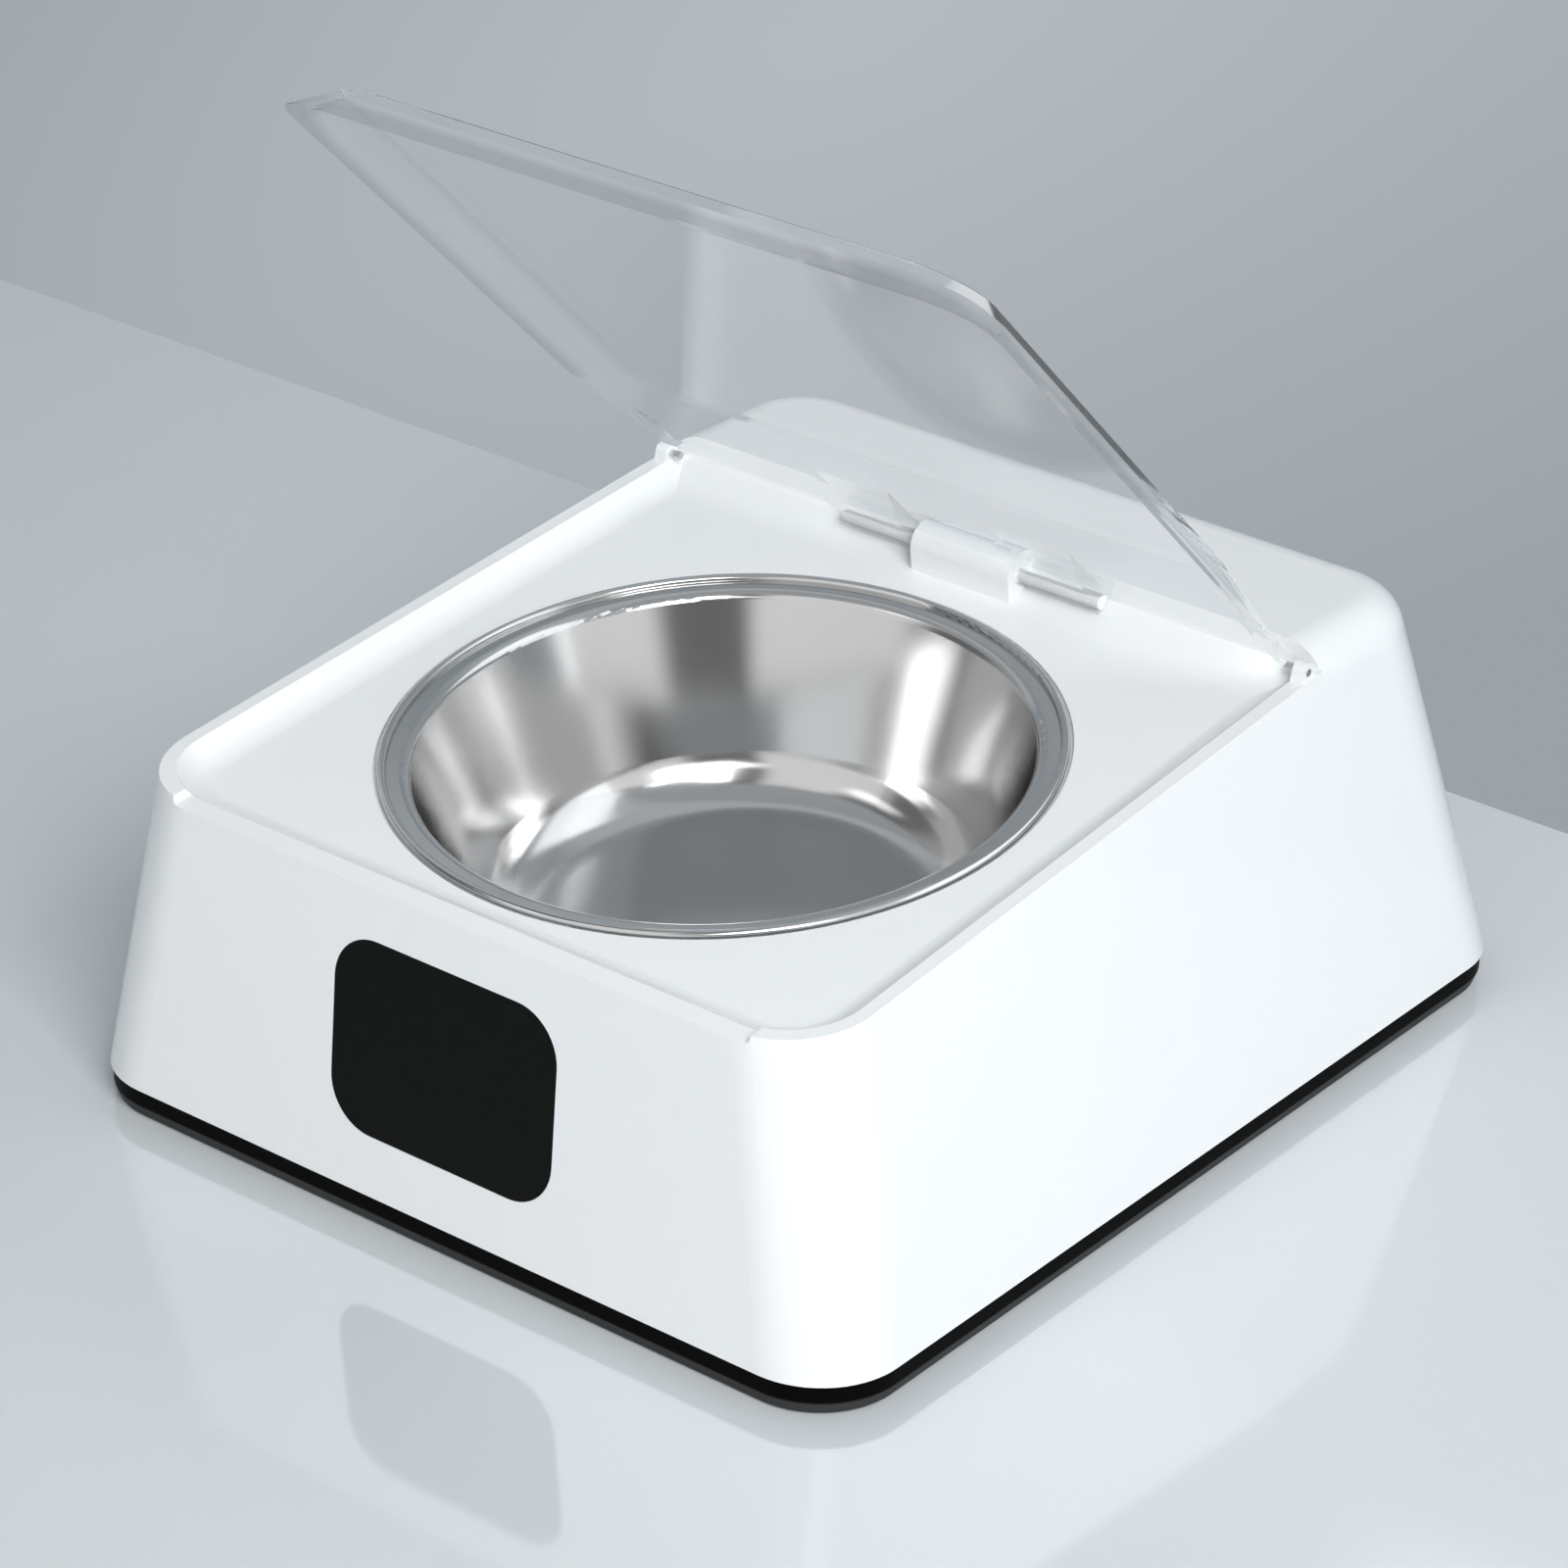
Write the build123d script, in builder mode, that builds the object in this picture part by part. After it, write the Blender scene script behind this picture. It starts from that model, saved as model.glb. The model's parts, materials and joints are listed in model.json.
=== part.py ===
from build123d import *
from math import acos, atan2, cos, degrees, hypot, pi, radians, sin, tan
import os

os.makedirs("parts", exist_ok=True)

# Automatic pet feeder, in millimetres: +X right, +Y back, +Z up, origin under the middle of the base
# on the floor. The lid is modelled standing open.

# Housing: tapered block with a sloping tray in front and a raised block behind.
base_width = 230.74
base_depth = 270.88
side_draft = 10.0
front_draft = 5.06
back_draft = 13.17
corner_r = 21.4
wall = 2.6
seam_z = 7.9
lip_front_z = 84.42
lip_slope = 4.86
lip_width = 3.3
tray_drop = 4.55
floor_slope = 5.1
cove_r = 8.9
cove_reach = 8.0
tray_rear_corner_r = 6.0
mouth_half = 84.0
mouth_drop = 1.86
mouth_end_r = 1.5
ramp_length = 12.4
ramp_top_drop = 0.2
ramp_bite = 0.5
tray_top = 40.0
block_face_y = 64.4
block_z = 106.8
block_edge_r = 11.0

# Bowl and its well. Heights are measured from the tray floor along the bowl's axis.
bowl_y = -34.2
bowl_rim_r = 79.4
bowl_sheet = 0.8
bead_r = 1.1
flange_width = 6.0
flange_roll_r = 2.4
bowl_depth = 46.5
bowl_taper = 17.4
bowl_bottom_curve_r = 16.0
seat_depth = 1.2
seat_clearance = 0.8
well_clearance = 3.0
well_bevel = 12.0

# Hinge line, lid and its drive lugs.
hinge_y = 59.5
hinge_z = 102.6
lid_open = 50.0
lid_rim_drop = 1.3
lid_reach = 187.9
lid_height = 7.8
lid_sheet = 2.2
lid_side_lean = 51.0
lid_front_lean = 21.0
lid_front_corner_r = 17.0
lid_rear_low = 11.7
lid_rear_high = 33.0
lid_rear_corner_r = 15.0
lug_inner_x = 15.0
lug_outer_x = 38.5
lug_r = 3.2
lug_arm_top = 2.6
heel_z_low = 103.1
heel_z_high = 106.5
moving_gap = 0.3
arm_width = 2.5
arm_gap = 0.6
arm_r = 2.2
ear_inset = 0.66
ear_width = 3.2
ear_r = 2.4
pin_r = 1.0
fit_gap = 0.05

# Drive train: lid gear on the shaft, idler, and the motor gear, all of one module.
gear_module = 0.6
gear_width = 5.0
lid_teeth = 12
idler_teeth = 20
motor_teeth = 24
backlash = 0.16
addendum = 0.7
dedendum = 1.1
pressure_angle = 20.0
idler_direction = -40.0
motor_direction = -18.5
shaft_r = 2.0
axle_r = 1.5
boss_half = 14.6
boss_skin = 1.05
boss_wall = 4.1
drive_gap = 0.33
bushing_r = 3.2
motor_r = 11.0
motor_length = 46.0
gearhead_length = 19.0
motor_shaft_depth = 6.0
plate_inner_x = 6.5
plate_thickness = 2.0
web_gap = 1.1
web_y_front = 72.0
web_y_back = 96.0
bracket_half = 22.0
bracket_post_y = 91.0
bracket_post_x = 17.0

# Base, feet and screws.
base_gap = 0.6
base_skin = 2.4
base_inset = 0.5
base_rim = 3.0
base_bevel = 2.8
base_bevel_in = 1.0
tongue_height = 9.0
tongue_inset = 5.2
tongue_wall = 1.6
rib_height = 5.0
rib_wall = 1.6
foot_r = 8.0
foot_recess = 1.0
foot_x = 84.0
foot_y_front = -102.0
foot_y_back = 106.0
post_r = 4.4
post_x = 88.0
post_y_front = -84.0
post_y_back = 84.0
screw_r = 1.5
screw_head_r = 3.0
screw_head_height = 2.0
screw_length = 14.0
post_gap = 0.2

# Batteries: four cells lying across, two rows of two.
cell_r = 12.75
cell_length = 49.0
cell_y = 88.0
cell_row_gap = 0.8
cell_end_room = 5.0
cell_clearance = 0.5
nub_length = 1.5
nub_r = 3.2
contact_thickness = 0.5
contact_half = 7.0
contact_height = 10.0
bay_wall = 1.8
door_edge_gap = 0.4
door_ledge = 2.4

# Front window, boards, antenna and rear buttons.
window_width = 65.1
window_height = 47.9
window_z = 46.8
window_corner_r = 12.0
window_thickness = 1.4
window_ledge = 3.0
window_gap = 0.15
board_thickness = 1.6
sensor_r = 2.5
sensor_gap = 0.5
sensor_x = 11.0
sensor_board_width = 76.0
sensor_board_height = 26.0
sensor_post_x = 34.5
sensor_post_r = 2.4
sensor_post = 5.0
main_board_width = 84.0
main_board_depth = 58.0
main_board_y = 20.0
main_board_z = 12.0
former_gap = 1.6
former_wall = 1.2
coil_width = 3.4
coil_height = 7.2
former_flange = 4.4
button_r = 5.0
button_proud = 1.0
button_travel = 0.5
button_x = 16.0
button_z = 62.1
button_flange_r = 6.4
button_stem_r = 1.6
button_stem = 3.0
button_flange = 1.0
button_tip_gap = 0.1
switch_size = 6.0
switch_height = 3.6
plunger_height = 1.0
plunger_r = 1.6
button_board_width = 60.0
button_board_height = 14.0
button_post_x = 26.5


def half_width(z):
    """Half the housing's width at height z."""
    return base_width / 2 - z * tan(radians(side_draft))


def front_y(z):
    """The front face at height z."""
    return -base_depth / 2 + z * tan(radians(front_draft))


def back_y(z):
    """The rear face at height z."""
    return base_depth / 2 - z * tan(radians(back_draft))


def lip_z(y):
    """Height of the lips at depth y."""
    return lip_front_z + (y + base_depth / 2) * tan(radians(lip_slope))


def floor_z(y):
    """Height of the tray floor at depth y."""
    return lip_z(bowl_y) - tray_drop + (y - bowl_y) * tan(radians(floor_slope))


def inner_lip(y):
    """Half-width of the lips' inner edge at depth y."""
    return half_width(lip_z(y)) - lip_width


def body_section(z, inset=0.0):
    """The housing's outline at height z, moved in by inset."""
    with BuildSketch(Plane.XY.offset(z)) as section:
        with Locations((0, (front_y(z) + back_y(z)) / 2)):
            RectangleRounded(2 * (half_width(z) - inset), back_y(z) - front_y(z) - 2 * inset, corner_r - inset)
    return section.sketch


def sloped(y, z, slope):
    """Plane through (0, y, z) that rises towards the back by slope degrees."""
    return Plane(origin=(0, y, z), x_dir=(1, 0, 0), z_dir=(0, -sin(radians(slope)), cos(radians(slope))))


def leaning_plane(x, y, degrees_in):
    """Side plane whose foot is at (x, y) on the floor, facing outwards and leaning in by degrees_in."""
    reach = hypot(x, y)
    lean = radians(degrees_in)
    return Plane(
        origin=(x, y, 0),
        x_dir=(-y, x, 0),
        z_dir=(x / reach * cos(lean), y / reach * cos(lean), sin(lean)),
    )


def trimmed_block(base, size, height, sides, front_r, rear_r):
    """Block standing on the base plane, trimmed by the side planes, with rounded upright corners."""
    with BuildPart() as block:
        with BuildSketch(base.offset(-height)):
            Rectangle(size, size)
        extrude(amount=3 * height)
        for plane in sides:
            split(bisect_by=plane, keep=Keep.BOTTOM)
        uprights = block.edges().filter_by(lambda e: abs(e.tangent_at(0).dot(base.z_dir)) > 0.3)
        fillet(uprights.group_by(Axis.Y)[0], front_r)
        uprights = block.edges().filter_by(GeomType.LINE)
        uprights = uprights.filter_by(lambda e: abs(e.tangent_at(0).dot(base.z_dir)) > 0.3)
        fillet(uprights.group_by(Axis.Y)[-1], rear_r)
        split(bisect_by=base, keep=Keep.TOP)
        split(bisect_by=base.offset(height), keep=Keep.BOTTOM)
    return block.part


body_sides = [
    leaning_plane(base_width / 2, 0, side_draft),
    leaning_plane(-base_width / 2, 0, side_draft),
    leaning_plane(0, -base_depth / 2, front_draft),
    leaning_plane(0, base_depth / 2, back_draft),
]


def body_block(low, high, inset=0.0):
    """The housing's tapered block between two heights, moved in by inset."""
    sides = [plane.offset(-inset) for plane in body_sides]
    return trimmed_block(
        Plane.XY.offset(low), 2 * base_depth, high - low, sides, corner_r - inset, corner_r - inset
    )


# Sizes that follow others: bowl and antenna from the bowl's rim, hinge ears and arms from the housing's side.
flange_inner_r = bowl_rim_r - flange_width
bowl_bottom_r = flange_inner_r - bowl_taper
former_r = bowl_rim_r + former_gap
ear_outer_x = half_width(lip_z(hinge_y)) - ear_inset
ear_inner_x = ear_outer_x - ear_width
arm_outer_x = ear_inner_x - arm_gap
arm_inner_x = arm_outer_x - arm_width

lip_plane = sloped(-base_depth / 2, lip_front_z, lip_slope)
floor_plane = sloped(bowl_y, floor_z(bowl_y), floor_slope)
bowl_section = Plane(origin=floor_plane.origin, x_dir=(1, 0, 0), z_dir=-floor_plane.y_dir)
bowl_axis = Axis(floor_plane.origin, floor_plane.z_dir)


def pot(top_r, bottom_r, depth, bevel, top):
    """Half section of a round pot with a bevelled bottom on the bowl's axis, up to the height top."""
    with BuildSketch(bowl_section) as section:
        with BuildLine():
            Polyline((0, top), (0, -depth), (bottom_r, -depth), (top_r, 0), (top_r, top), close=True)
        make_face()
        chamfer(section.vertices().sort_by_distance((bottom_r, -depth))[0], bevel)
    return section.sketch


# Bowl well: hollow that holds the bowl with a running gap, and the pot-shaped wall round it.
well_top_r = flange_inner_r + well_clearance
well_bottom_r = bowl_bottom_r + well_clearance
well_depth = bowl_depth + seat_depth + well_clearance
with BuildPart() as well_hollow:
    revolve(pot(well_top_r, well_bottom_r, well_depth, well_bevel, 20.0), bowl_axis)
    with BuildSketch(floor_plane.offset(-seat_depth)):
        Circle(bowl_rim_r + seat_clearance)
    extrude(amount=20.0)

with BuildPart() as well_pot:
    revolve(
        pot(well_top_r + wall, well_bottom_r + wall, well_depth + wall, well_bevel, wall),
        bowl_axis,
    )
    with BuildSketch(floor_plane.offset(-seat_depth - wall)):
        Circle(bowl_rim_r + seat_clearance)
    extrude(amount=wall)

# Rear block: full height with a rounded top edge, kept behind its vertical face.
with BuildPart() as rear_block:
    add(body_block(seam_z, block_z))
    fillet(rear_block.faces().sort_by(Axis.Z)[-1].edges(), block_edge_r)
    split(bisect_by=Plane.XZ.offset(-block_face_y), keep=Keep.BOTTOM)

with BuildPart() as rear_cavity:
    add(body_block(seam_z, block_z - wall, wall))
    fillet(rear_cavity.faces().sort_by(Axis.Z)[-1].edges(), block_edge_r - wall)
    split(bisect_by=Plane.XZ.offset(-block_face_y - wall), keep=Keep.BOTTOM)

with BuildPart() as cavity:
    add(body_block(seam_z, block_z, wall))
    split(bisect_by=floor_plane.offset(-wall), keep=Keep.BOTTOM)
    split(bisect_by=Plane.XZ.offset(-block_face_y - wall), keep=Keep.TOP)
    add(rear_cavity.part)
    add(well_pot.part, mode=Mode.SUBTRACT)

# Tray: a pocket with coved sides, open at the front, bounded by the lips and the block's face.
cove_allowance = cove_r - cove_reach
tray_front = front_y(lip_front_z) + lip_width
lip_front_corner_r = corner_r - lip_width


def tray_outline(plane, rear, rear_r, out):
    """Tray outline inside the lips, out to the given rear depth, moved outwards by out."""
    with BuildSketch(plane) as section:
        with BuildLine():
            Polyline(
                (-inner_lip(rear) - out, rear),
                (-inner_lip(tray_front) - out, tray_front - out),
                (inner_lip(tray_front) + out, tray_front - out),
                (inner_lip(rear) + out, rear),
                close=True,
            )
        make_face()
        fillet(section.vertices().group_by(Axis.Y)[0], lip_front_corner_r + out)
        fillet(section.vertices().group_by(Axis.Y)[-1], rear_r)
    return section.sketch


with BuildPart() as tray_limit:
    extrude(tray_outline(Plane.XY, block_face_y, tray_rear_corner_r, 0.0), amount=block_z + tray_top)

with BuildPart() as tray_pocket:
    extrude(
        tray_outline(Plane.XY, block_face_y + 2 * cove_r, 1.5 * cove_r, cove_allowance), amount=block_z + tray_top
    )
    split(bisect_by=floor_plane, keep=Keep.TOP)
    fillet(tray_pocket.faces().sort_by(Axis.Z)[0].edges(), cove_r)
    add(tray_limit.part, mode=Mode.INTERSECT)

with BuildPart() as tray_mouth:
    with BuildSketch(Plane.XY):
        with Locations((0, front_y(0))):
            Rectangle(2 * mouth_half, 2 * (tray_front + lip_front_corner_r - front_y(0)))
    extrude(amount=block_z + tray_top)
    split(bisect_by=lip_plane.offset(-mouth_drop), keep=Keep.TOP)
    fillet(tray_mouth.faces().sort_by(Axis.Z)[0].edges().filter_by(Axis.X, reverse=True), mouth_end_r)

# Hinge and drive axes.
idler_distance = gear_module * (lid_teeth + idler_teeth) / 2
motor_distance = gear_module * (idler_teeth + motor_teeth) / 2
idler_y = hinge_y + idler_distance * cos(radians(idler_direction))
idler_z = hinge_z + idler_distance * sin(radians(idler_direction))
motor_y = idler_y + motor_distance * cos(radians(motor_direction))
motor_z = idler_z + motor_distance * sin(radians(motor_direction))
drive_pocket_r = gear_module * (lid_teeth / 2 + addendum) + drive_gap
boss_r = drive_pocket_r + boss_skin
idler_pocket_r = gear_module * (idler_teeth / 2 + addendum) + 0.7
web_z = motor_z - motor_r - web_gap - plate_thickness
window_plane = Plane(
    origin=(0, front_y(window_z), window_z),
    x_dir=(1, 0, 0),
    z_dir=(0, -cos(radians(front_draft)), sin(radians(front_draft))),
)
rear_plane = Plane(
    origin=(0, back_y(button_z), button_z),
    x_dir=(-1, 0, 0),
    z_dir=(0, cos(radians(back_draft)), sin(radians(back_draft))),
)

button_flange_depth = wall + fit_gap
button_tip_depth = button_flange_depth + button_flange + button_stem
button_board_depth = button_tip_depth + button_travel + button_tip_gap + plunger_height + switch_height

with BuildPart() as upper_housing:
    # Outer form: below the lip plane in front, full height behind the block's face.
    add(body_block(seam_z, block_z))
    split(bisect_by=lip_plane, keep=Keep.BOTTOM)
    split(bisect_by=Plane.XZ.offset(-block_face_y), keep=Keep.TOP)
    add(rear_block.part)
    add(tray_pocket.part, mode=Mode.SUBTRACT)
    add(tray_mouth.part, mode=Mode.SUBTRACT)
    # Concave ramp from the tray floor up to the block's face.
    with BuildSketch(Plane.YZ):
        with BuildLine():
            ramp = TangentArc(
                (block_face_y - ramp_length, floor_z(block_face_y - ramp_length)),
                (block_face_y + ramp_bite, lip_z(block_face_y) - ramp_top_drop),
                tangent=(cos(radians(floor_slope)), sin(radians(floor_slope))),
            )
            Polyline(
                ramp @ 1,
                (block_face_y + wall / 2, (ramp @ 1).Y),
                (block_face_y + wall / 2, (ramp @ 0).Y - wall),
                ((ramp @ 0).X, (ramp @ 0).Y - wall),
                ramp @ 0,
            )
        make_face()
    extrude(amount=inner_lip(block_face_y) + lip_width / 2, both=True)
    # Centre boss round the drive shaft.
    with BuildSketch(Plane.YZ):
        with Locations((hinge_y, hinge_z)):
            Circle(boss_r)
        with BuildLine():
            Polyline(
                (hinge_y - boss_r, hinge_z),
                (hinge_y - boss_r + 1.0, floor_z(hinge_y) - wall),
                (block_face_y + wall / 2, floor_z(hinge_y) - wall),
                (block_face_y + wall / 2, hinge_z + 3.0),
                (hinge_y, hinge_z + 3.0),
                close=True,
            )
        make_face()
    extrude(amount=boss_half, both=True)
    # Hinge ears standing on the ends of the lips.
    for side in (-1, 1):
        with BuildSketch(Plane.YZ.offset(side * (ear_inner_x + ear_outer_x) / 2)):
            with Locations((hinge_y, hinge_z)):
                Circle(ear_r)
            with BuildLine():
                Polyline(
                    (hinge_y - ear_r, hinge_z),
                    (hinge_y - ear_r - 0.8, lip_z(hinge_y) - 1.0),
                    (hinge_y + ear_r + 0.8, lip_z(hinge_y) - 1.0),
                    (hinge_y + ear_r, hinge_z),
                    close=True,
                )
            make_face()
        extrude(amount=(ear_outer_x - ear_inner_x) / 2, both=True)
    # Inside: main cavity, bowl well, drive pocket.
    add(cavity.part, mode=Mode.SUBTRACT)
    add(well_hollow.part, mode=Mode.SUBTRACT)
    with BuildSketch(Plane.YZ):
        with Locations((hinge_y, hinge_z)):
            Circle(drive_pocket_r)
        with Locations((idler_y, idler_z)):
            Circle(idler_pocket_r)
        with Locations((idler_y + idler_pocket_r / 2, idler_z - 1.0)):
            Rectangle(idler_pocket_r, 2 * idler_pocket_r - 2.0)
    extrude(amount=boss_half - boss_wall, both=True, mode=Mode.SUBTRACT)
    with BuildSketch(Plane.YZ):
        with Locations((hinge_y, hinge_z)):
            Circle(bushing_r)
    extrude(amount=boss_half + 1.0, both=True, mode=Mode.SUBTRACT)
    with BuildSketch(Plane.YZ):
        with Locations((hinge_y, hinge_z)):
            Circle(pin_r)
    extrude(amount=ear_outer_x + 2.0, both=True, mode=Mode.SUBTRACT)
    # Screw posts to the base and to the drive bracket.
    for y in (post_y_front, post_y_back):
        with BuildSketch(Plane.XY.offset(seam_z + post_gap)):
            with Locations((-post_x, y), (post_x, y)):
                Circle(post_r)
                Circle(screw_r, mode=Mode.SUBTRACT)
        post_top = floor_z(y) - wall if y < block_face_y else block_z - wall
        extrude(amount=post_top - seam_z - post_gap + 0.3)
    with BuildSketch(Plane.XY.offset(web_z + plate_thickness)):
        with Locations((-bracket_post_x, bracket_post_y), (bracket_post_x + motor_length, bracket_post_y)):
            Circle(post_r)
            Circle(screw_r, mode=Mode.SUBTRACT)
    extrude(amount=block_z - wall - web_z - plate_thickness + 0.3)
    # Sensor window seat: a stepped opening through the front wall.
    with BuildSketch(window_plane):
        RectangleRounded(
            window_width + 2 * window_gap, window_height + 2 * window_gap, window_corner_r + window_gap
        )
    extrude(amount=-window_thickness, mode=Mode.SUBTRACT)
    with BuildSketch(window_plane):
        RectangleRounded(
            window_width - 2 * window_ledge, window_height - 2 * window_ledge, window_corner_r - window_ledge
        )
    extrude(amount=-2 * wall, mode=Mode.SUBTRACT)
    # Posts behind the window for the sensor board.
    with BuildSketch(window_plane.offset(-wall - sensor_post)):
        with Locations((-sensor_post_x, 0), (sensor_post_x, 0)):
            Circle(sensor_post_r)
            Circle(screw_r - 0.5, mode=Mode.SUBTRACT)
    extrude(amount=sensor_post + (wall - window_thickness) / 2)
    # Posts behind the rear wall for the button board.
    with BuildSketch(rear_plane.offset(-button_board_depth)):
        with Locations((-button_post_x, 0), (button_post_x, 0)):
            Circle(sensor_post_r)
            Circle(screw_r - 0.5, mode=Mode.SUBTRACT)
    extrude(amount=button_board_depth - wall / 2)
    # Holes for the two rear buttons.
    with BuildSketch(rear_plane):
        with Locations((-button_x, 0), (button_x, 0)):
            Circle(button_r + moving_gap)
    extrude(amount=-2 * wall, mode=Mode.SUBTRACT)
upper_housing.part.label = "upper_housing"
export_step(upper_housing.part, "parts/upper_housing.step")

# Bowl: one sheet from the flat bottom up the wall and out over the flange, with a rolled bead at the rim.
bowl_floor = -seat_depth - bowl_depth + bowl_sheet / 2
flange_level = -seat_depth + bowl_sheet / 2
with BuildPart() as bowl:
    with BuildSketch(bowl_section):
        with BuildLine():
            FilletPolyline(
                (0, bowl_floor),
                (bowl_bottom_r - bowl_sheet, bowl_floor),
                (flange_inner_r - bowl_sheet, flange_level),
                (bowl_rim_r - bead_r, flange_level),
                radius=(bowl_bottom_curve_r, flange_roll_r),
            )
        trace(line_width=bowl_sheet)
        with Locations((bowl_rim_r - bead_r, -seat_depth + fit_gap + bead_r)):
            Circle(bead_r)
    revolve(axis=bowl_axis)
bowl.part.label = "bowl"
export_step(bowl.part, "parts/bowl.step")

# Lid frame: origin on the hinge line, y towards the hinge's rear, z out of the lid's top.
lid_tilt = lid_open - lip_slope
lid_plane = Plane(
    origin=(0, hinge_y, hinge_z),
    x_dir=(1, 0, 0),
    z_dir=(0, sin(radians(lid_tilt)), cos(radians(lid_tilt))),
)
lid_side_plane = Plane(origin=lid_plane.origin, x_dir=lid_plane.y_dir, z_dir=(1, 0, 0))
lid_rim_half_rear = half_width(lip_z(hinge_y - lid_rear_low))
lid_rim_half_front = half_width(lip_z(hinge_y - lid_reach))


def lid_side(across, back, lean):
    """Side plane of the lid facing (across, back) in the lid's frame, through its rim, leaning in by lean."""
    middle = (lid_rear_low + lid_reach) / 2
    if across:
        half = (lid_rim_half_front + lid_rim_half_rear) / 2
        foot = lid_plane.from_local_coords((across * half, -middle, -lid_rim_drop))
        taper = (lid_rim_half_front - lid_rim_half_rear) / (lid_reach - lid_rear_low)
        along = Vector(across * taper, -1, 0)
    else:
        foot = lid_plane.from_local_coords((0, -lid_rear_low if back > 0 else -lid_reach, -lid_rim_drop))
        along = Vector(1, 0, 0)
    outward = Vector(across, back, 0)
    outward = (outward - along * (outward.dot(along) / along.dot(along))).normalized()
    normal = outward * cos(radians(lean)) + Vector(0, 0, 1) * sin(radians(lean))
    turn = Plane(origin=(0, 0, 0), x_dir=lid_plane.x_dir, z_dir=lid_plane.z_dir)
    return Plane(origin=foot, x_dir=turn.from_local_coords(along), z_dir=turn.from_local_coords(normal))


lid_sides = [
    lid_side(1, 0, lid_side_lean),
    lid_side(-1, 0, lid_side_lean),
    lid_side(0, -1, lid_front_lean),
    lid_side(0, 1, degrees(atan2(lid_rear_high - lid_rear_low, lid_height))),
]


def lid_block(height, inset):
    """The lid's dome up to a height above its rim, moved in by inset."""
    return trimmed_block(
        lid_plane.offset(-lid_rim_drop),
        2.5 * lid_reach,
        height,
        [plane.offset(-inset) for plane in lid_sides],
        lid_front_corner_r - inset,
        lid_rear_corner_r - inset,
    )


lid_rear_inset = lid_sheet * hypot(lid_rear_high - lid_rear_low, lid_height) / lid_height


def d_section(plane, radius):
    """Shaft section with one flat."""
    with BuildSketch(plane) as section:
        with Locations((hinge_y, hinge_z)):
            Circle(radius)
            with Locations((0, radius)):
                Rectangle(2 * radius, radius / 2, mode=Mode.SUBTRACT)
    return section.sketch


with BuildPart() as lid:
    add(lid_block(lid_height, 0.0))
    fillet(lid.faces().sort_by(Axis(lid_plane.origin, lid_plane.z_dir))[-1].edges(), 1.2)
    add(lid_block(lid_height - lid_sheet, lid_sheet), mode=Mode.SUBTRACT)
    lug_root = lid_rear_low + (lug_arm_top + lid_rim_drop) * (lid_rear_high - lid_rear_low) / lid_height
    for side in (-1, 1):
        # Drive lug: a barrel on the shaft, an arm into the dome's rear slope, and the stop heel.
        lug_middle = side * (lug_inner_x + lug_outer_x) / 2
        lug_half = (lug_outer_x - lug_inner_x) / 2 - moving_gap / 2
        with BuildSketch(lid_side_plane.offset(lug_middle)):
            Circle(lug_r)
            with BuildLine():
                Polyline(
                    (0, lug_arm_top),
                    (0, -lid_rim_drop),
                    (-lid_rear_low - lid_rear_inset, -lid_rim_drop),
                    (-lug_root - 1.0, lug_arm_top),
                    close=True,
                )
            make_face()
        extrude(amount=lug_half, both=True)
        with BuildSketch(Plane.YZ.offset(lug_middle)):
            with BuildLine():
                Polyline(
                    (hinge_y, hinge_z),
                    (block_face_y - moving_gap, heel_z_low),
                    (block_face_y - moving_gap, heel_z_high),
                    (hinge_y, heel_z_high),
                    close=True,
                )
            make_face()
        extrude(amount=lug_half, both=True)
        # Hinge arm at the rear corner, running from the pin into the side wall.
        with BuildSketch(lid_side_plane.offset(side * (arm_inner_x + arm_outer_x) / 2)):
            Circle(arm_r)
            with BuildLine():
                Polyline(
                    (0, arm_r), (0, -lid_rim_drop), (-30, -lid_rim_drop), (-30, 1.2), (-14, arm_r), close=True
                )
            make_face()
        extrude(amount=(arm_outer_x - arm_inner_x) / 2, both=True)
        with BuildSketch(lid_side_plane.offset(side * (arm_outer_x + 0.6))):
            with BuildLine():
                Polyline((-15, 1.0), (-15, -lid_rim_drop), (-30, -lid_rim_drop), (-30, 1.0), close=True)
            make_face()
        extrude(amount=1.2, both=True)
    extrude(d_section(Plane.YZ, shaft_r), amount=lug_outer_x + 1, both=True, mode=Mode.SUBTRACT)
    with BuildSketch(Plane.YZ):
        with Locations((hinge_y, hinge_z)):
            Circle(pin_r + fit_gap)
    extrude(amount=arm_outer_x + 1, both=True, mode=Mode.SUBTRACT)
lid.part.label = "lid"
export_step(lid.part, "parts/lid.step")

with BuildPart() as hinge_pins:
    for side in (-1, 1):
        with BuildSketch(Plane.YZ.offset(side * (arm_inner_x + ear_outer_x) / 2)):
            with Locations((hinge_y, hinge_z)):
                Circle(pin_r)
        extrude(amount=(ear_outer_x - arm_inner_x) / 2, both=True)
hinge_pins.part.label = "hinge_pins"
export_step(hinge_pins.part, "parts/hinge_pins.step")

with BuildPart() as drive_shaft:
    extrude(d_section(Plane.YZ, shaft_r), amount=lug_outer_x - moving_gap / 2, both=True)
drive_shaft.part.label = "drive_shaft"
export_step(drive_shaft.part, "parts/drive_shaft.step")

with BuildPart() as shaft_bushings:
    for side in (-1, 1):
        with BuildSketch(Plane.YZ.offset(side * (boss_half - boss_wall / 2))):
            with Locations((hinge_y, hinge_z)):
                Circle(bushing_r)
                Circle(shaft_r + fit_gap, mode=Mode.SUBTRACT)
        extrude(amount=boss_wall / 2, both=True)
shaft_bushings.part.label = "shaft_bushings"
export_step(shaft_bushings.part, "parts/shaft_bushings.step")


def involute(angle):
    """Involute function of an angle in radians."""
    return tan(angle) - angle


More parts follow.
